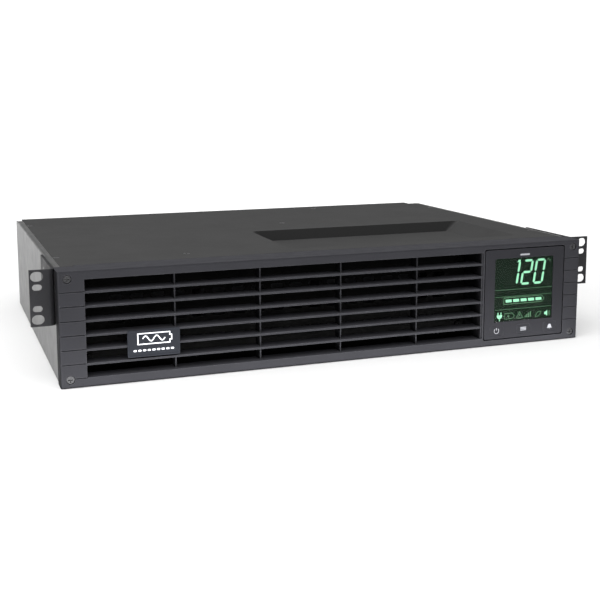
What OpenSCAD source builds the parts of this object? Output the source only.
/* [Enclosure] */
// Width of the enclosure and of the front bezel
body_w = 440; // [436:1:444]
// Height of the enclosure, two rack units less the gap that a rack needs
body_h = 86; // [85:0.5:88]
// Depth from the bezel's face to the enclosure's rear edge
body_d = 314; // [312:1:320]
// Thickness of the enclosure's sheet steel
sheet = 1.2; // [1:0.1:1.4]
// Outside radius of the bends in the sheet steel
bend_r = 2.4; // [2:0.1:3]

/* [Top cover] */
// Centre of the stamped recess, from the middle of the width
dish_x = 78; // [70:1:80]
// Width of the stamped recess at the cover's face
dish_w = 212; // [190:1:212]
// Distance from the bezel's face to the recess's front edge
dish_front = 42; // [40:1:46]
// Depth front to back of the stamped recess at the cover's face
dish_run = 108; // [100:1:120]
// How far the recess is pressed down
dish_deep = 9.5; // [5:0.5:10.5]
// Run of the recess's sloping walls at the front and sides
dish_slope = 13; // [6:1:14]

/* [Front bezel] */
// Depth of the bezel at its sides, back to the plane of the ears
bezel_side_d = 15; // [14:0.5:16]
// Depth of the bezel's top strip over the enclosure
bezel_top_d = 26; // [24:0.5:27]
// Number of louvre slats
slat_count = 6; // [5:1:6]
// Distance between louvre slats
slat_pitch = 10.66; // [10:0.01:10.7]
// Thickness of a louvre slat
slat_t = 1.5; // [1.2:0.1:1.8]
// Depth of a louvre slat
slat_d = 14; // [10:0.5:14]
// Distance between the upright ribs that tie the slats
rib_pitch = 67; // [60:1:70]

/* [Control display] */
// Middle of the display unit, from the middle of the width
disp_x = 166; // [165.5:0.5:166]
// Height of the display unit's middle
disp_z = 43.7; // [43.5:0.1:43.9]
// Side of the square display unit
disp_w = 75.6; // [74:0.2:75.8]
// Gap all round between the display unit and its well
disp_gap = 1; // [0.6:0.1:1]
// Depth of the display unit
disp_d = 27; // [25:0.5:27]
// Width of a push key
key_w = 12.4; // [11:0.2:13]
// Height of a push key
key_h = 8; // [7:0.2:8]
// Clearance round a push key
key_gap = 0.2; // [0.2:0.05:0.4]

/* [Rack ears] */
// Spacing across the rack between the mounting slots, a rack standard
slot_span = 465.1; // [465.1]
// Spacing up the ear between the outer pair of slots, a rack standard
slot_rise = 31.75; // [31.75]
// Spacing up the ear between the inner pair of slots
inner_rise = 15.875; // [15.875]
// Overall width across both ears
ear_span = 476; // [475:0.5:482.6]
// Height of an ear
ear_h = 41.8; // [41:0.1:42]
// Thickness of an ear
ear_t = 2; // [1.6:0.1:2.2]

/* [Batteries] */
// Number of batteries side by side
battery_count = 3; // [3]
// Length of a battery case
battery_l = 151; // [150:0.5:151]
// Width of a battery case, laid flat so that it is its height here
battery_t = 65; // [64:0.5:66]
// Height of a battery case, laid across the enclosure
battery_w = 94; // [92:0.5:95]

/* [Fan] */
// Side of the fan's square frame
fan_size = 60; // [60]
// Spacing of the fan's four screws
fan_holes = 50; // [50]
// Number of fan blades
blade_count = 7; // [5:1:9]

/* [Hidden] */
$fn = 32;
eps = 0.5;

// Colours
paint = [0.27, 0.27, 0.28];
side_paint = [0.27, 0.27, 0.28];
plastic = [0.25, 0.25, 0.27];
dark = [0.08, 0.08, 0.09];
steel = [0.6, 0.6, 0.62];
brass = [0.78, 0.62, 0.3];
board_green = [0.05, 0.3, 0.15];

// Overall sizes
hw = body_w / 2;
rear_reach = 8;
total_d = body_d + rear_reach;
cover_under = body_h - sheet;
flange_z = cover_under - sheet;
rim_w = 5;
rim_in = 21;
top_cut = 2.2;
dish_round = 6;
dish_back = 1.5;
bezel_end_w = 15;
bezel_end_d = bezel_top_d - 4;
tray_front = bezel_side_d + 0.3;
slit = 0.3;

// Bezel
wall = 2.5;
grille_x = [-201, 126];
grille_z = [7, 79.8];
slat_z0 = 16;
slat_front = 0.6;
rib_front = 4.5;
rib_t = 1;
rib_x0 = -134;
groove_h = 0.9;
groove_deep = 0.8;
screw_x = 213;
screw_z = [6.2, 80.4];
screw_well_r = 3.25;
screw_well_deep = 2.8;
badge_x = [-171, -131.6];
badge_z = [18.7, 39];
badge_t = 1.2;

// Display unit
disp_xs = [disp_x - disp_w / 2, disp_x + disp_w / 2];
disp_zs = [disp_z - disp_w / 2, disp_z + disp_w / 2];
glass_x = [137.2, 194];
glass_z = [20, 74];
lcd_y = [1.4, 3.9];
boss = 31;
key_x = [140, 166, 192];
key_z = 12.6;
key_travel = 0.7;
well_d = 33;
well_wall = 2;
board_y = 10;
switch_h = 4.3;

// Ears
ear_z = 65.1;
ear_bend = ear_t + 2;
leg_end = 85;
leg_holes_y = [34, 66];
leg_holes_z = [54.2, 76];
big_slot = [9, 7.3];
small_slot = [7, 4.7];

// Cover screws: along both edges, and single ones into the inner flanges
edge_screws = [for (s = [-1, 1], y = [66, 262]) [s * 212.4, y]];
inner_screws = [[-113, 50], [18, 196], [89, 296]];

// Battery bay
battery_pitch = battery_w + 7;
bay_x = -205;
bay_y = 44;
battery_z = 2 * sheet;
part_x = bay_x + battery_count * battery_pitch + 3;
part_y = bay_y + battery_l + 3.4;

// Transformer: a flat E-I core round one winding
core_x = [114, 206];
core_y = [70, 168];
core_z = [16, 56];
limb = 15.5;
winding_z = [4, 68];

// Circuit board
pcb_x = [-118, 204];
pcb_y = [204, 284];
pcb_z = 9;
pcb_t = 1.6;
post_x = [-110, 40, 196];
post_y = [211, 277];
sink_x = [-96, 60];
sink_l = 90;
sink_y = 228;
sink_top = 66;

// Rear panel
panel_y = [body_d - 2.6, body_d - 1.4];
panel_x = hw - sheet - 0.35;
panel_foot = sheet + 0.45;
fan_x = -172;
fan_z = 43;
fan_d = 25;
fan_bore = 28.7;
inlet_x = -5;
inlet_z = 24;
outlet_block_x = [30, 116];
outlet_w = 38;
outlet_z = [24, 61];
outlet_pitch = 38;
breaker_x = -5;
breaker_z = 62;
usb_x = -118;
serial_x = -88;
port_z = 24;
jacks_x = -51;
card_x = [-132, -44];
card_z = [50, 76];

// Everything is drawn from the bezel's face backwards, then centred on the origin
module from_front() { translate([0, -total_d / 2, 0]) children(); }

module block(x, y, z) { translate([x[0], y[0], z[0]]) cube([x[1] - x[0], y[1] - y[0], z[1] - z[0]]); }

module rounded_rect(a, b, r) {
    translate([a[0] + r, b[0]]) square([a[1] - a[0] - 2 * r, b[1] - b[0]]);
    translate([a[0], b[0] + r]) square([a[1] - a[0], b[1] - b[0] - 2 * r]);
    for (u = [a[0] + r, a[1] - r], v = [b[0] + r, b[1] - r]) translate([u, v]) circle(r);
}

// Prisms with rounded corners whose long way runs along X, Y or Z
module pad_x(x, y, z, r) { translate([x[0], 0, 0]) rotate([90, 0, 90]) linear_extrude(x[1] - x[0])
    rounded_rect(y, z, r); }

module pad_y(x, y, z, r) { translate([0, y[1], 0]) rotate([90, 0, 0]) linear_extrude(y[1] - y[0])
    rounded_rect(x, z, r); }

module pad_z(x, y, z, r) { translate([0, 0, z[0]]) linear_extrude(z[1] - z[0]) rounded_rect(x, y, r); }

module rod_x(x, y, z, r) { translate([x[0], y, z]) rotate([0, 90, 0])
    cylinder(h = x[1] - x[0], r = r); }

module rod_y(x, y, z, r) { translate([x, y[0], z]) rotate([-90, 0, 0])
    cylinder(h = y[1] - y[0], r = r); }

module rod_z(x, y, z, r) { translate([x, y, z[0]]) cylinder(h = z[1] - z[0], r = r); }

// An obround slot through a plate that faces forwards
module slot_y(x, y, z, size) {
    run = (size[0] - size[1]) / 2;
    block([x - run, x + run], y, [z - size[1] / 2, z + size[1] / 2]);
    for (s = [-1, 1]) rod_y(x + s * run, y, z, size[1] / 2);
}

// Cross-shaped driver recess, cut down from z = 0
module cross_recess(r, deep) {
    for (turn = [0, 90]) rotate([0, 0, turn]) translate([-r, -0.35, -deep])
        cube([2 * r, 0.7, deep + eps]);
}

// A flat-headed screw whose head face is at z = 0 and whose shank runs down
module flat_screw(shank_r, head_r, len) {
    head_h = head_r - shank_r;
    difference() {
        union() {
            translate([0, 0, -head_h]) cylinder(h = head_h, r1 = shank_r, r2 = head_r);
            translate([0, 0, -len]) cylinder(h = len - head_h + 0.01, r = shank_r);
        }
        cross_recess(head_r * 0.6, head_h * 0.8);
    }
}

// The cone that such a head sits in
module flat_seat(shank_r, head_r, thick) {
    translate([0, 0, -(head_r - shank_r)]) cylinder(h = head_r - shank_r, r1 = shank_r, r2 = head_r);
    translate([0, 0, -thick - eps]) cylinder(h = thick + 2 * eps, r = shank_r + 0.05);
    cylinder(h = eps, r = head_r);
}

// A pan-headed screw whose head rests on z = 0
module pan_screw(shank_r, head_r, head_h, len) {
    difference() {
        union() {
            cylinder(h = head_h, r = head_r);
            translate([0, 0, -len]) cylinder(h = len, r = shank_r);
        }
        translate([0, 0, head_h]) cross_recess(head_r * 0.65, head_h * 0.6);
    }
}

// ---- Enclosure ----

module tray_section() {
    difference() {
        rounded_rect([-hw, hw], [0, body_h], bend_r);
        rounded_rect([-hw + sheet, hw - sheet], [sheet, body_h - sheet], bend_r - sheet);
        translate([-hw + rim_w, cover_under - eps]) square([body_w - 2 * rim_w, sheet + 2 * eps]);
    }
}

module chassis_tray() from_front() color(side_paint) difference() {
    union() {
        translate([0, body_d, 0]) rotate([90, 0, 0]) linear_extrude(body_d - tray_front) tray_section();
        for (s = [-1, 1]) {
            mirror([s < 0 ? 1 : 0, 0, 0]) {
                block([hw - rim_in, hw - rim_w + sheet], [bezel_top_d + 2, body_d - 14],
                    [flange_z, cover_under]);
                for (z = screw_z) {
                    block([screw_x - 6, hw - sheet + 0.1], [tray_front + 0.5, tray_front + 1.7],
                        [z - 4.5, z + 2.8]);
                }
            }
        }
    }
    // Room for the bezel's top strip
    block([-hw - 1, hw + 1], [tray_front - 1, bezel_end_d + slit], [body_h - top_cut, body_h + 1]);
    for (s = [-1, 1]) {
        for (y = [66, 262]) rod_z(s * 212.4, y, [flange_z - 1, body_h + 1], 1.6);
        for (z = screw_z) rod_y(s * screw_x, [tray_front - 1, tray_front + 3], z, 1.55);
        for (y = leg_holes_y, z = leg_holes_z) rod_x([s * hw - 4, s * hw + 4], y, z, 2.1);
        // Rim cut down at the rear corner
        block([s * (hw - 3) - 4, s * (hw - 3) + 4], [body_d - 12, body_d + 1],
            [body_h - 1.3, body_h + 1]);
        // Rounded lower rear corner of each side
        difference() {
            block([s * hw - 2, s * hw + 2], [body_d - 6, body_d + 1], [-1, 6]);
            rod_x([s * hw - 3, s * hw + 3], body_d - 6, 6, 6);
        }
    }
}

// The recess's solid, grown outwards by the thickness of the sheet for its underside
module dish(grow) {
    xs = [dish_x - dish_w / 2, dish_x + dish_w / 2];
    ys = [dish_front, dish_front + dish_run];
    low = grow / 2;
    floor_z = body_h - dish_deep - grow;
    hull() {
        pad_z([xs[0] - grow, xs[1] + grow], [ys[0] - grow, ys[1] + grow], [body_h, body_h + 1],
            dish_round);
        pad_z([xs[0] + dish_slope - low, xs[1] - dish_slope + low],
            [ys[0] + dish_slope - low, ys[1] - dish_back + low],
            [floor_z, floor_z + 0.01], dish_round / 3);
    }
}

module top_cover() from_front() color(paint) {
    edge = hw - rim_w - slit;
    difference() {
        union() {
            block([-edge, edge], [bezel_end_d + 2 * slit, body_d], [cover_under, body_h]);
            intersection() {
                dish(sheet);
                block([-hw, hw], [0, body_d], [0, body_h]);
            }
            // Lip bent down over the rear panel
            block([-edge + 12, edge - 12], [body_d - sheet, body_d], [body_h - 4.4, cover_under + 0.1]);
        }
        dish(0);
        // Step that clears the deeper middle of the bezel's strip
        block([-hw + bezel_end_w - slit, hw - bezel_end_w + slit], [0, bezel_top_d + slit],
            [body_h - 4, body_h + 1]);
        // Notched rear corner
        block([edge - 9, edge + 1], [body_d - 12, body_d + 1], [body_h - 4, body_h + 1]);
        for (p = concat(edge_screws, inner_screws)) {
            translate([p[0], p[1], body_h]) flat_seat(1.6, 2.8, sheet);
        }
    }
}

module cover_screws() from_front() color(steel) {
    for (p = concat(edge_screws, inner_screws)) {
        translate([p[0], p[1], body_h - 0.02]) flat_screw(1.5, 2.7, 6);
    }
}

module front_bulkhead() from_front() color(dark) difference() {
    union() {
        block([-panel_x, panel_x], [27, 28.2], [panel_foot, flange_z - 0.2]);
        // Foot and top flange bent backwards
        block([-200, 214], [27, 42], [sheet, 2 * sheet - 0.1]);
        block([-196, -36], [27, 58], [flange_z, cover_under]);
        block([-196, -36], [27, 28.2], [flange_z - eps, cover_under]);
    }
    block([-190, 112], [26, 30], [10, 75]);
    block([disp_xs[0] - 5, disp_xs[1] + 5], [26, 30], [2 * sheet - 0.1, body_h]);
    rod_z(-113, 50, [flange_z - 1, body_h], 1.6);
    for (x = [-195, 117], z = [15, 70]) rod_y(x, [26, 30], z, 1.6);
}

module battery_door() from_front() color(dark) difference() {
    union() {
        pad_y([-200, 122], [25.7, 26.9], [6, 80], 2);
        pad_y([-186, 108], [26.8, 31], [12, 73], 2);
    }
    pad_y([-184.8, 106.8], [26.9, 32], [13.2, 71.8], 1);
    for (i = [0:17], j = [0:2]) slot_y(-174 + i * 16, [25, 28], 24 + j * 18, [11, 4]);
    for (x = [-195, 117], z = [15, 70]) rod_y(x, [25, 28], z, 1.7);
}

module battery_door_screws() from_front() color(steel) {
    for (x = [-195, 117], z = [15, 70]) {
        translate([x, 25.7, z]) rotate([90, 0, 0]) pan_screw(1.5, 3.2, 2, 6);
    }
}

module bay_partition() from_front() color(steel) difference() {
    union() {
        block([-panel_x, part_x + sheet], [part_y, part_y + sheet], [panel_foot, cover_under]);
        block([part_x, part_x + sheet], [bay_y, part_y + 0.1], [sheet, 70]);
        block([-180, 90], [part_y - 14, part_y + 0.1], [flange_z, cover_under]);
        block([-180, part_x], [part_y, part_y + 4.5], [sheet, 2 * sheet]);
    }
    rod_z(18, 196, [flange_z - 1, body_h], 1.6);
    for (x = [-150, -40]) pad_y([x - 15, x + 15], [part_y - 1, part_y + 3], [20, 50], 5);
    block([-hw, -hw + rim_in + 1], [part_y - 1, part_y + 3], [flange_z - 0.2, body_h]);
}

// ---- Rack ears ----

module ear() {
    foot_z = [ear_z - ear_h / 2, ear_z + ear_h / 2];
    difference() {
        translate([0, 0, foot_z[0]]) linear_extrude(ear_h) {
            translate([hw + ear_bend, bezel_side_d]) square([ear_span / 2 - hw - ear_bend, ear_t]);
            translate([hw, bezel_side_d + ear_bend]) square([ear_t, leg_end - bezel_side_d - ear_bend]);
            intersection() {
                translate([hw + ear_bend, bezel_side_d + ear_bend]) difference() {
                    circle(ear_bend);
                    circle(ear_bend - ear_t);
                }
                translate([hw, bezel_side_d]) square(ear_bend);
            }
        }
        for (s = [-1, 1]) {
            slot_y(slot_span / 2, [bezel_side_d - 1, bezel_side_d + 4], ear_z + s * slot_rise / 2,
                big_slot);
            slot_y(slot_span / 2, [bezel_side_d - 1, bezel_side_d + 4], ear_z + s * inner_rise / 2,
                small_slot);
        }
        for (y = leg_holes_y, z = leg_holes_z) {
            translate([hw + ear_t, y, z]) rotate([0, 90, 0]) flat_seat(2, 3.7, ear_t);
        }
    }
}

module left_rack_ear() from_front() color(paint) mirror([1, 0, 0]) ear();

module right_rack_ear() from_front() color(paint) ear();

module ear_screws() from_front() color(steel) {
    for (s = [-1, 1], y = leg_holes_y, z = leg_holes_z) {
        mirror([s < 0 ? 1 : 0, 0, 0]) translate([hw + ear_t - 0.02, y, z]) rotate([0, 90, 0])
            flat_screw(1.95, 3.6, 9);
    }
}

// ---- Front bezel ----

// The bezel's rounded outside, open at the back
module bezel_outside() {
    intersection() {
        pad_x([-hw, hw], [0, 60], [0, body_h], 1.4);
        pad_z([-hw, hw], [0, 60], [0, body_h], 2);
        union() {
            block([-hw, hw], [0, bezel_side_d], [0, body_h]);
            block([-hw, hw], [0, bezel_end_d], [body_h - 2, body_h]);
            block([-hw + bezel_end_w, hw - bezel_end_w], [0, bezel_top_d], [body_h - 2, body_h]);
        }
    }
}

module front_bezel() from_front() color(plastic) difference() {
    union() {
        difference() {
            bezel_outside();
            block([-hw + wall, hw - wall], [wall, 60], [wall, body_h - 2]);
            block([grille_x[0], grille_x[1]], [-1, 4], grille_z);
        }
        // Duct round the grille
        difference() {
            block([grille_x[0] - 2, grille_x[1] + 2], [1, slat_d + slat_front],
                [grille_z[0] - 2, grille_z[1] + 2]);
            block(grille_x, [0, slat_d + 2], grille_z);
        }
        for (i = [0:slat_count - 1]) {
            z = slat_z0 + i * slat_pitch;
            block([grille_x[0] - 0.1, grille_x[1] + 0.1], [slat_front, slat_front + slat_d],
                [z, z + slat_t]);
        }
        for (i = [0:3]) {
            x = rib_x0 + i * rib_pitch;
            block([x - rib_t / 2, x + rib_t / 2], [rib_front, slat_front + slat_d],
                [grille_z[0] - 0.1, grille_z[1] + 0.1]);
        }
        // Seat for the badge
        block([badge_x[0] + 1, badge_x[1] - 1], [badge_t, 5], [badge_z[0] + 1, badge_z[1] - 1]);
        // Well for the display unit
        block([disp_xs[0] - disp_gap - 2.4, disp_xs[1] + disp_gap + well_wall], [1, well_d],
              [disp_zs[0] - disp_gap - well_wall, disp_zs[1] + disp_gap + 1]);
        for (s = [-1, 1], z = screw_z) rod_y(s * screw_x, [1, bezel_side_d], z, 4.3);
    }
    // Inside of the well and the slot for the ribbon
    pad_y([disp_xs[0] - disp_gap, disp_xs[1] + disp_gap], [-1, well_d - well_wall],
          [disp_zs[0] - disp_gap, disp_zs[1] + disp_gap], 1.6);
    block([disp_x - 10, disp_x + 10], [well_d - 4, well_d + 1], [disp_z - 2.5, disp_z + 2.5]);
    block(badge_x, [-1, badge_t], badge_z);
    // Screw wells and holes
    for (s = [-1, 1], z = screw_z) {
        rod_y(s * screw_x, [-1, screw_well_deep], z, screw_well_r);
        rod_y(s * screw_x, [0, bezel_side_d + 1], z, 1.7);
    }
    // Grooves in the end panels, in line with the slats
    for (i = [0:slat_count - 1]) {
        z = slat_z0 + i * slat_pitch + 1;
        block([-hw - 1, grille_x[0] + 0.1], [-1, groove_deep], [z, z + groove_h]);
        block([disp_xs[1] + disp_gap, hw + 1], [-1, groove_deep], [z, z + groove_h]);
    }
    block([-210, grille_x[0] + 0.1], [-1, groove_deep], [grille_z[0] - 0.6, grille_z[0] + 0.3]);
    // Slot cut where the top strip passes the tray's sides
    block([-hw - 1, -hw + wall], [bezel_side_d, 40], [0, body_h - 2]);
    block([hw - wall, hw + 1], [bezel_side_d, 40], [0, body_h - 2]);
}

module bezel_screws() from_front() color(steel) {
    for (s = [-1, 1], z = screw_z) {
        translate([s * screw_x, screw_well_deep, z]) rotate([90, 0, 0]) pan_screw(1.5, 2.95, 2, 17);
    }
}

module badge_plate() from_front() color(dark) difference() {
    pad_y(badge_x, [0, badge_t], badge_z, 1.2);
    pad_y([badge_x[0] + 1.2, badge_x[1] - 1.2], [-1, 0.25], [badge_z[0] + 1.2, badge_z[1] - 1.2], 0.8);
}

// ---- Display unit ----

module display_housing() from_front() color(plastic) difference() {
    pad_y(disp_xs, [0, disp_d - 2], disp_zs, 1.4);
    pad_y([disp_xs[0] + 2, disp_xs[1] - 2], [wall, disp_d], [disp_zs[0] + 2, disp_zs[1] - 2], 0.8);
    pad_y(glass_x, [-1, wall + 1], glass_z, 0.4);
    // Pocket that the liquid crystal panel sits in
    block([glass_x[0] - 1.1, glass_x[1] + 1.1], [lcd_y[0] - 0.1, wall + 1],
        [glass_z[0] - 1.1, glass_z[1] + 1.1]);
    for (x = key_x) {
        pad_y([x - key_w / 2 - key_gap, x + key_w / 2 + key_gap], [-1, wall + 1],
              [key_z - key_h / 2 - key_gap, key_z + key_h / 2 + key_gap], 1.5 + key_gap);
    }
}

module display_window() from_front() color([0.1, 0.16, 0.12, 0.4]) {
    pad_y([glass_x[0] + 0.1, glass_x[1] - 0.1], [0.2, 1.2], [glass_z[0] + 0.1, glass_z[1] - 0.1], 0.3);
}

module lcd_panel() from_front() color([0.08, 0.15, 0.1]) {
    block([glass_x[0] - 1, glass_x[1] + 1], lcd_y, [glass_z[0] - 1, glass_z[1] + 1]);
}

module lcd_frame() from_front() color([0.85, 0.85, 0.82]) difference() {
    block([glass_x[0] - 3, glass_x[1] + 3], [2.7, board_y], [glass_z[0] - 2.4, glass_z[1] + 2.4]);
    block([glass_x[0] - 1.05, glass_x[1] + 1.05], [2, lcd_y[1] + 0.05],
        [glass_z[0] - 1.05, glass_z[1] + 1.05]);
}

module display_board() from_front() color(board_green) difference() {
    block([disp_xs[0] + 3, disp_xs[1] - 3], [board_y, board_y + pcb_t],
        [disp_zs[0] + 3, disp_zs[1] - 3]);
    for (sx = [-1, 1], sz = [-1, 1]) rod_y(disp_x + sx * boss, [9, 13], disp_z + sz * boss, 1.6);
}

module key_switches() from_front() color(dark) {
    for (x = key_x) {
        block([x - 3, x + 3], [board_y - 3.4, board_y], [key_z - 3, key_z + 3]);
        rod_y(x, [board_y - switch_h, board_y - 3.3], key_z, 1.6);
    }
}

module display_back_cover() from_front() color(plastic) difference() {
    union() {
        pad_y(disp_xs, [disp_d - 2, disp_d], disp_zs, 1.4);
        for (sx = [-1, 1], sz = [-1, 1])
            rod_y(disp_x + sx * boss, [board_y + pcb_t, disp_d - 1], disp_z + sz * boss, 3);
    }
    block([disp_x - 9, disp_x + 9], [disp_d - 3, disp_d + 1], [disp_z - 2, disp_z + 2]);
    for (sx = [-1, 1], sz = [-1, 1]) {
        rod_y(disp_x + sx * boss, [board_y, disp_d + 1], disp_z + sz * boss, 1.3);
        rod_y(disp_x + sx * boss, [disp_d - 1.6, disp_d + 1], disp_z + sz * boss, 2.6);
    }
}

module display_screws() from_front() color(steel) {
    for (sx = [-1, 1], sz = [-1, 1]) {
        translate([disp_x + sx * boss, disp_d - 1.6, disp_z + sz * boss]) rotate([-90, 0, 0])
            pan_screw(1.25, 2.4, 1.5, 15);
    }
}

module display_ribbon() from_front() color([0.75, 0.75, 0.72]) {
    block([disp_x - 7, disp_x + 7], [board_y + pcb_t, 58], [disp_z - 0.5, disp_z + 0.5]);
}

module key(x) {
    pad_y([x - key_w / 2, x + key_w / 2], [0.1, wall + 0.2], [key_z - key_h / 2, key_z + key_h / 2],
        1.5);
    pad_y([x - key_w / 2 - 1, x + key_w / 2 + 1], [wall + 0.1, wall + 0.9],
          [key_z - key_h / 2 - 0.5, key_z + key_h / 2 + 0.5], 1.5);
    rod_y(x, [wall + 0.8, board_y - switch_h - key_travel - 0.05], key_z, 1.4);
}

module power_key() from_front() color(plastic) key(key_x[0]);

module select_key() from_front() color(plastic) key(key_x[1]);

module silence_key() from_front() color(plastic) key(key_x[2]);

// ---- Batteries ----

function battery_left(i) = bay_x + i * battery_pitch;

module battery_tray() from_front() color(steel) {
    block([bay_x - 1.4, part_x - 1.2], [bay_y - 1.6, part_y - 1], [sheet, 2 * sheet]);
    for (x = [bay_x - 1.4, part_x - 2.4]) block([x, x + sheet], [bay_y, part_y - 1], [sheet, 14]);
    block([bay_x - 1.4, part_x - 1.2], [part_y - 2.2, part_y - 1], [sheet, 14]);
}

module battery(i) {
    x = battery_left(i);
    difference() {
        pad_z([x, x + battery_w], [bay_y, bay_y + battery_l], [battery_z, battery_z + battery_t], 2);
        // The two terminal pockets
        for (y = [bay_y + 10, part_y - 26])
            block([x + battery_w - 5, x + battery_w + 1], [y, y + 12], [50, 62]);
    }
}

module battery_1() from_front() color([0.3, 0.3, 0.32]) battery(0);

module battery_2() from_front() color([0.3, 0.3, 0.32]) battery(1);

module battery_3() from_front() color([0.3, 0.3, 0.32]) battery(2);

module battery_terminals() from_front() color(brass) {
    for (i = [0:battery_count - 1], y = [bay_y + 10, part_y - 26]) {
        x = battery_left(i) + battery_w - 5;
        block([x, x + 7], [y + 3, y + 9], [55.6, 56.4]);
    }
}

module battery_links() from_front() color([0.55, 0.1, 0.08]) {
    for (i = [0:battery_count - 1]) {
        x = battery_left(i) + battery_w + 2.2;
        block([x, x + 2.4], [bay_y + 12, part_y - 16], [56.5, 58.5]);
    }
}

// ---- Transformer ----

module transformer_core() from_front() color([0.35, 0.34, 0.33]) difference() {
    block(core_x, core_y, core_z);
    for (x = [core_x[0] + limb, core_x[1] - 2 * limb]) {
        block([x, x + limb], [core_y[0] + limb, core_y[1] - limb], [core_z[0] - 1, core_z[1] + 1]);
    }
    for (x = [core_x[0] + 7, core_x[1] - 7], y = [core_y[0] + 7, core_y[1] - 7])
        rod_z(x, y, [core_z[0] - 1, core_z[1] + 1], 2.6);
}

module transformer_winding() from_front() color([0.6, 0.4, 0.12]) difference() {
    pad_y([core_x[0] + limb + 0.8, core_x[1] - limb - 0.8],
        [core_y[0] + limb + 0.6, core_y[1] - limb - 0.6], winding_z, 5);
    block([core_x[0] + 2 * limb - 0.2, core_x[1] - 2 * limb + 0.2], [core_y[0], core_y[1]],
        [core_z[0] - 0.2, core_z[1] + 0.2]);
}

module transformer_rails() from_front() color(steel) difference() {
    for (y = [core_y[0], core_y[1] - 14]) {
        difference() {
            block([core_x[0], core_x[1]], [y, y + 14], [sheet, core_z[0]]);
            block([core_x[0] - 1, core_x[1] + 1], [y + 1.6, y + 12.4], [sheet - 1, core_z[0] - 1.6]);
        }
    }
    for (x = [core_x[0] + 7, core_x[1] - 7], y = [core_y[0] + 7, core_y[1] - 7])
        rod_z(x, y, [0, core_z[0] + 1], 2.6);
}

module transformer_bolts() from_front() color(steel) {
    for (x = [core_x[0] + 7, core_x[1] - 7], y = [core_y[0] + 7, core_y[1] - 7]) {
        rod_z(x, y, [10, core_z[1]], 2.5);
        translate([x, y, core_z[1]]) cylinder(h = 4, r = 5, $fn = 6);
    }
}

// ---- Electronics ----

module main_board() from_front() color(board_green) difference() {
    block(pcb_x, pcb_y, [pcb_z, pcb_z + pcb_t]);
    for (x = post_x, y = post_y) rod_z(x, y, [pcb_z - 1, pcb_z + pcb_t + 1], 1.7);
}

module board_standoffs() from_front() color(brass) {
    for (x = post_x, y = post_y) difference() {
        translate([x, y, sheet]) cylinder(h = pcb_z - sheet, r = 3.2, $fn = 6);
        rod_z(x, y, [sheet + 2, pcb_z + 1], 1.55);
    }
}

module board_screws() from_front() color(steel) {
    for (x = post_x, y = post_y) translate([x, y, pcb_z + pcb_t]) pan_screw(1.5, 2.8, 1.8, 5);
}

module heatsinks() from_front() color([0.7, 0.7, 0.72]) {
    for (x = sink_x) {
        block([x, x + sink_l], [sink_y, sink_y + 3], [pcb_z + pcb_t, sink_top]);
        for (i = [0:8]) block([x + 2 + i * 10.5, x + 4 + i * 10.5], [sink_y + 2.9, sink_y + 20],
            [pcb_z + pcb_t, sink_top]);
    }
}

module power_transistors() from_front() color(dark) {
    for (x = sink_x, i = [0:3]) {
        block([x + 10 + i * 20, x + 20 + i * 20], [sink_y - 4.6, sink_y - 0.1], [22, 37]);
        for (k = [-1, 0, 1]) rod_z(x + 15 + i * 20 + k * 2.5, sink_y - 2.4, [pcb_z + pcb_t, 22.1],
            0.45);
    }
}

module capacitors() from_front() color([0.12, 0.12, 0.2]) {
    for (i = [0:4]) rod_z(-90 + i * 24, 214, [pcb_z + pcb_t, 45], 8.5);
    for (i = [0:1]) rod_z(80 + i * 20, 214, [pcb_z + pcb_t, 32], 7.5);
}

module relays() from_front() color([0.1, 0.2, 0.45]) {
    for (i = [0:3]) block([-84 + i * 30, -64 + i * 30], [256, 282], [pcb_z + pcb_t, 28]);
}

// ---- Fan ----

module fan_frame() from_front() color(dark) {
    y = [panel_y[0] - fan_d, panel_y[0]];
    difference() {
        pad_y([fan_x - fan_size / 2, fan_x + fan_size / 2], y,
            [fan_z - fan_size / 2, fan_z + fan_size / 2], 3);
        rod_y(fan_x, [y[0] - 1, y[1] + 1], fan_z, fan_bore);
        for (sx = [-1, 1], sz = [-1, 1])
            rod_y(fan_x + sx * fan_holes / 2, [y[0] - 1, y[1] + 1], fan_z + sz * fan_holes / 2, 2.15);
    }
    // Motor base carried on four arms at the inner end
    difference() {
        union() {
            rod_y(fan_x, [y[0], y[0] + 3], fan_z, 14);
            for (turn = [45:90:315]) translate([fan_x, y[0], fan_z]) rotate([0, turn, 0])
                translate([12, 0, -2]) cube([fan_bore - 11.6, 2.5, 4]);
        }
        rod_y(fan_x, [y[0] - 1, y[0] + 4], fan_z, 1.55);
    }
}

module fan_rotor() from_front() color([0.1, 0.1, 0.11]) {
    y = [panel_y[0] - fan_d + 4, panel_y[0] - 2.5];
    translate([fan_x, 0, fan_z]) {
        rod_y(0, y, 0, 12.5);
        rod_y(0, [y[0] - 3.5, y[0] + 1], 0, 1.5);
        for (i = [0:blade_count - 1]) rotate([0, i * 360 / blade_count, 0]) intersection() {
            translate([19, (y[0] + y[1]) / 2, 0]) rotate([38, 0, 0]) cube([20, 1.4, 22], center = true);
            difference() {
                rod_y(0, [y[0] + 0.5, y[1] - 0.5], 0, fan_bore - 1.2);
                rod_y(0, [y[0], y[1]], 0, 11.5);
            }
        }
    }
}

module wire_ring(r, y, wire_r) {
    translate([fan_x, y, fan_z]) rotate([90, 0, 0]) rotate_extrude() translate([r, 0])
        circle(wire_r, $fn = 16);
}

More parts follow.
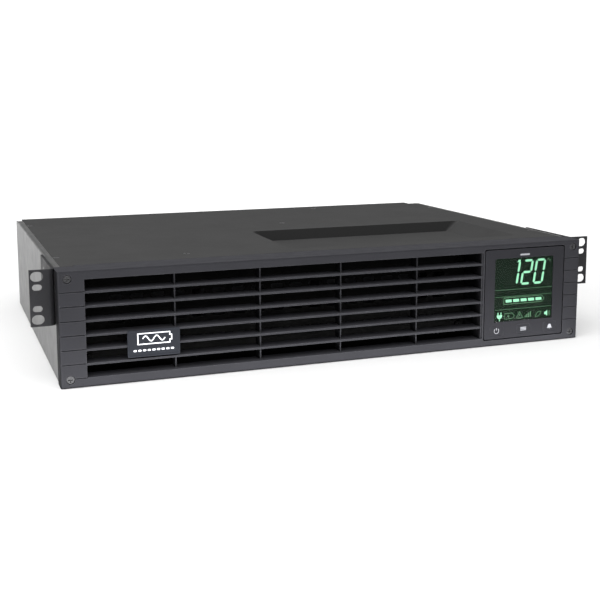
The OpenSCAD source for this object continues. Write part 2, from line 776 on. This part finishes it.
module fan_guard() from_front() color([0.75, 0.75, 0.77]) {
    wire_r = 0.8;
    loop_r = 3.9;
    for (r = [10, 18, 26]) wire_ring(r, panel_y[1] + 2.2, wire_r);
    for (turn = [45:90:315]) translate([fan_x, panel_y[1], fan_z]) rotate([0, turn, 0]) {
        rod_x([0, 31.6], wire_r, 0, wire_r);
        translate([fan_holes / sqrt(2), 0, 0]) rotate([-90, 0, 0]) difference() {
            cylinder(h = 1.5, r = loop_r);
            translate([0, 0, -1]) cylinder(h = 4, r = 2.15);
        }
    }
}

module fan_screws() from_front() color(steel) {
    for (sx = [-1, 1], sz = [-1, 1]) {
        translate([fan_x + sx * fan_holes / 2, panel_y[1] + 1.5, fan_z + sz * fan_holes / 2])
            rotate([-90, 0, 0]) pan_screw(2, 3.6, 2.2, 12);
    }
}

// ---- Rear panel and its fittings ----

module rear_panel() from_front() color(paint) difference() {
    union() {
        block([-panel_x, panel_x], panel_y, [panel_foot, cover_under - 0.4]);
        // Flanges bent forwards: top, bottom and both sides
        block([-196, 196], [panel_y[0] - 22, panel_y[0] + 0.1], [flange_z, cover_under]);
        block([-196, 196], [panel_y[0] - 12, panel_y[0] + 0.1], [sheet, 2 * sheet]);
        for (s = [-1, 1]) {
            mirror([s < 0 ? 1 : 0, 0, 0]) block([panel_x - sheet, panel_x],
                [panel_y[0] - 12, panel_y[0] + 0.1], [6, 78]);
        }
    }
    rod_z(89, 296, [flange_z - 1, body_h], 1.6);
    for (s = [-1, 1]) block([s * (hw - rim_in / 2) - rim_in / 2 - 1,
        s * (hw - rim_in / 2) + rim_in / 2 + 1], [panel_y[0] - 30, body_d - 14 + 0.3],
        [flange_z - 0.2, body_h]);
    rod_y(fan_x, [body_d - 4, body_d], fan_z, fan_bore);
    for (sx = [-1, 1], sz = [-1, 1])
        rod_y(fan_x + sx * fan_holes / 2, [body_d - 4, body_d], fan_z + sz * fan_holes / 2, 2.15);
    pad_y([inlet_x - 14, inlet_x + 14], [body_d - 4, body_d], [inlet_z - 10.2, inlet_z + 10.2], 2);
    for (s = [-1, 1]) rod_y(inlet_x + s * 20, [body_d - 4, body_d], inlet_z, 1.7);
    for (x = outlet_block_x) block([x, x + 2 * outlet_pitch], [body_d - 4, body_d], [6.2, 79]);
    rod_y(breaker_x, [body_d - 4, body_d], breaker_z, 5.6);
    block([usb_x - 6.3, usb_x + 6.3], [body_d - 4, body_d], [port_z - 5.8, port_z + 5.8]);
    block([serial_x - 10, serial_x + 10], [body_d - 4, body_d], [port_z - 5.6, port_z + 5.6]);
    for (s = [-1, 1]) rod_y(serial_x + s * 12.5, [body_d - 4, body_d], port_z, 1.6);
    block([jacks_x - 15.3, jacks_x + 15.3], [body_d - 4, body_d], [port_z - 7.3, port_z + 7.3]);
    block([card_x[0] + 8, card_x[1] - 8], [body_d - 4, body_d], [card_z[0] + 3, card_z[1] - 3]);
    for (x = [card_x[0] + 4, card_x[1] - 4])
        rod_y(x, [body_d - 4, body_d], (card_z[0] + card_z[1]) / 2, 1.6);
    rod_y(-208, [body_d - 4, body_d], 12, 2.1);
}

// Screws that hold the card slot's cover, and the earth bonding screw
module rear_screws() from_front() color(steel) {
    for (x = [card_x[0] + 4, card_x[1] - 4]) {
        translate([x, panel_y[1] + sheet, (card_z[0] + card_z[1]) / 2]) rotate([-90, 0, 0])
            pan_screw(1.5, 3.4, 3, 6);
    }
    translate([-208, panel_y[1], 12]) rotate([-90, 0, 0]) pan_screw(2, 4, 2.6, 8);
}

module slot_cover() from_front() color(paint) difference() {
    pad_y(card_x, [panel_y[1], panel_y[1] + sheet], card_z, 1.5);
    for (x = [card_x[0] + 4, card_x[1] - 4])
        rod_y(x, [body_d - 4, body_d + 2], (card_z[0] + card_z[1]) / 2, 1.7);
}

// Pocket of a three-pin appliance inlet, with its two cut lower corners
module inlet_pocket(y) {
    translate([inlet_x, y[1], inlet_z]) rotate([90, 0, 0]) linear_extrude(y[1] - y[0]) polygon([
        [-12, 8.2], [12, 8.2], [12, -4], [7.8, -8.2], [-7.8, -8.2], [-12, -4]]);
}

module inlet_socket() from_front() color(dark) difference() {
    union() {
        pad_y([inlet_x - 25, inlet_x + 25], [panel_y[1], panel_y[1] + 3],
            [inlet_z - 11.5, inlet_z + 11.5], 3);
        pad_y([inlet_x - 13.8, inlet_x + 13.8], [panel_y[1] - 20, panel_y[1] + 0.5],
            [inlet_z - 10, inlet_z + 10], 1.6);
    }
    inlet_pocket([panel_y[1] - 14, panel_y[1] + 4]);
    for (s = [-1, 1]) rod_y(inlet_x + s * 20, [panel_y[1] - 1, panel_y[1] + 4], inlet_z, 1.7);
    for (p = [[-7, -2], [7, -2], [0, 2]])
        block([inlet_x + p[0] - 1.05, inlet_x + p[0] + 1.05], [panel_y[1] - 21, panel_y[1] - 13],
        [inlet_z + p[1] - 2.05, inlet_z + p[1] + 2.05]);
}

module inlet_pins() from_front() color(brass) {
    for (p = [[-7, -2], [7, -2], [0, 2]]) {
        block([inlet_x + p[0] - 1, inlet_x + p[0] + 1], [panel_y[1] - 27, panel_y[1]],
            [inlet_z + p[1] - 2, inlet_z + p[1] + 2]);
    }
}

module inlet_screws() from_front() color(steel) {
    for (s = [-1, 1]) translate([inlet_x + s * 20, panel_y[1] + 3, inlet_z]) rotate([-90, 0, 0])
        pan_screw(1.5, 2.8, 1.6, 8);
}

// One receptacle's face: two blade slots and a round earth hole
module outlet_cuts(x, z, y) {
    block([x - 7.2, x - 5.2], y, [z - 2.3, z + 5.7]);
    block([x + 5.2, x + 7.2], y, [z - 1.9, z + 5.3]);
    rod_y(x, y, z - 6.6, 2.6);
}

module outlets(x0) {
    face = panel_y[1] + 1.8;
    xs = [x0 + outlet_w / 2, x0 + outlet_w / 2 + outlet_pitch];
    difference() {
        union() {
            block([x0 + 0.2, x0 + 2 * outlet_pitch - 0.2], [panel_y[1] - 24, panel_y[1] + 0.1],
                [6.4, 78.8]);
            block([x0 - 2, x0 + 2 * outlet_pitch + 2], [panel_y[1], panel_y[1] + 1], [4.4, 80.8]);
            for (x = xs, z = outlet_z) pad_y([x - 16, x + 16], [panel_y[1] + 0.9, face],
                [z - 15, z + 15], 4);
        }
        for (x = xs, z = outlet_z) outlet_cuts(x, z, [face - 14, face + 1]);
    }
}

module left_outlets() from_front() color(dark) outlets(outlet_block_x[0]);

module right_outlets() from_front() color(dark) outlets(outlet_block_x[1]);

module outlet_contacts() from_front() color(brass) {
    for (x0 = outlet_block_x, dx = [-6.2, 6.2], col = [0, 1]) {
        x = x0 + outlet_w / 2 + col * outlet_pitch + dx;
        block([x - 2, x + 2], [panel_y[1] - 27, panel_y[1] - 24], [14, 72]);
    }
}

module breaker_body() from_front() color(dark) difference() {
    union() {
        block([breaker_x - 8, breaker_x + 8], [panel_y[0] - 26, panel_y[0]],
            [breaker_z - 12, breaker_z + 12]);
        rod_y(breaker_x, [panel_y[0] - 0.1, panel_y[1] + 4], breaker_z, 5.4);
        translate([breaker_x, panel_y[1], breaker_z]) rotate([-90, 0, 0])
            cylinder(h = 2.4, r = 7.5, $fn = 6);
    }
    rod_y(breaker_x, [panel_y[0] - 12, panel_y[1] + 5], breaker_z, 3.55);
}

module breaker_button() from_front() color([0.7, 0.08, 0.06]) {
    rod_y(breaker_x, [panel_y[0] - 6, body_d + rear_reach], breaker_z, 3.5);
}

module usb_port() from_front() color(steel) {
    difference() {
        block([usb_x - 6, usb_x + 6], [panel_y[0] - 14, panel_y[1] + 0.6],
            [port_z - 5.45, port_z + 5.45]);
        block([usb_x - 4.2, usb_x + 4.2], [panel_y[0] - 8, panel_y[1] + 1],
            [port_z - 3.9, port_z + 3.9]);
    }
    block([usb_x - 2.8, usb_x + 2.8], [panel_y[0] - 8.1, panel_y[1] - 0.4],
        [port_z - 1.6, port_z + 1.6]);
}

// Nine-way shell with slanted ends, and its two hexagonal lock posts
module serial_port() from_front() color(steel) {
    translate([serial_x, panel_y[1] + 5.6, port_z]) rotate([90, 0, 0]) difference() {
        linear_extrude(14) polygon([[-8.6, 4.2], [8.6, 4.2], [7.2, -4.2], [-7.2, -4.2]]);
        translate([0, 0, -1]) linear_extrude(6)
            polygon([[-8, 3.6], [8, 3.6], [6.8, -3.6], [-6.8, -3.6]]);
    }
    translate([serial_x, panel_y[1], port_z]) rotate([90, 0, 0]) difference() {
        translate([-15.5, -5, -0.6]) cube([31, 10, 0.6]);
        translate([0, 0, -1]) linear_extrude(2)
            polygon([[-8.6, 4.2], [8.6, 4.2], [7.2, -4.2], [-7.2, -4.2]]);
    }
    for (s = [-1, 1]) translate([serial_x + s * 12.5, panel_y[1] + 0.6, port_z]) rotate([-90, 0, 0])
        cylinder(h = 4.6, r = 2.7, $fn = 6);
}

module surge_jacks() from_front() color(dark) difference() {
    union() {
        block([jacks_x - 15, jacks_x + 15], [panel_y[1] - 16, panel_y[1] + 0.5],
            [port_z - 7, port_z + 7]);
        block([jacks_x - 16.5, jacks_x + 16.5], [panel_y[1], panel_y[1] + 0.8],
            [port_z - 8.5, port_z + 8.5]);
    }
    for (s = [-1, 1]) {
        block([jacks_x + s * 7.4 - 5.9, jacks_x + s * 7.4 + 5.9], [panel_y[1] - 13, panel_y[1] + 2],
            [port_z - 3.2, port_z + 4]);
        block([jacks_x + s * 7.4 - 3, jacks_x + s * 7.4 + 3], [panel_y[1] - 13, panel_y[1] + 2],
            [port_z - 5, port_z - 3.1]);
    }
}

chassis_tray();
top_cover();
cover_screws();
rear_panel();
rear_screws();
front_bulkhead();
battery_door();
battery_door_screws();
left_rack_ear();
right_rack_ear();
ear_screws();
front_bezel();
bezel_screws();
badge_plate();
display_housing();
display_window();
lcd_panel();
lcd_frame();
display_board();
key_switches();
display_back_cover();
display_screws();
display_ribbon();
power_key();
select_key();
silence_key();
bay_partition();
battery_tray();
battery_1();
battery_2();
battery_3();
battery_terminals();
battery_links();
transformer_core();
transformer_winding();
transformer_rails();
transformer_bolts();
main_board();
board_standoffs();
board_screws();
heatsinks();
power_transistors();
capacitors();
relays();
fan_frame();
fan_rotor();
fan_guard();
fan_screws();
inlet_socket();
inlet_pins();
inlet_screws();
left_outlets();
right_outlets();
outlet_contacts();
breaker_body();
breaker_button();
usb_port();
serial_port();
surge_jacks();
slot_cover();
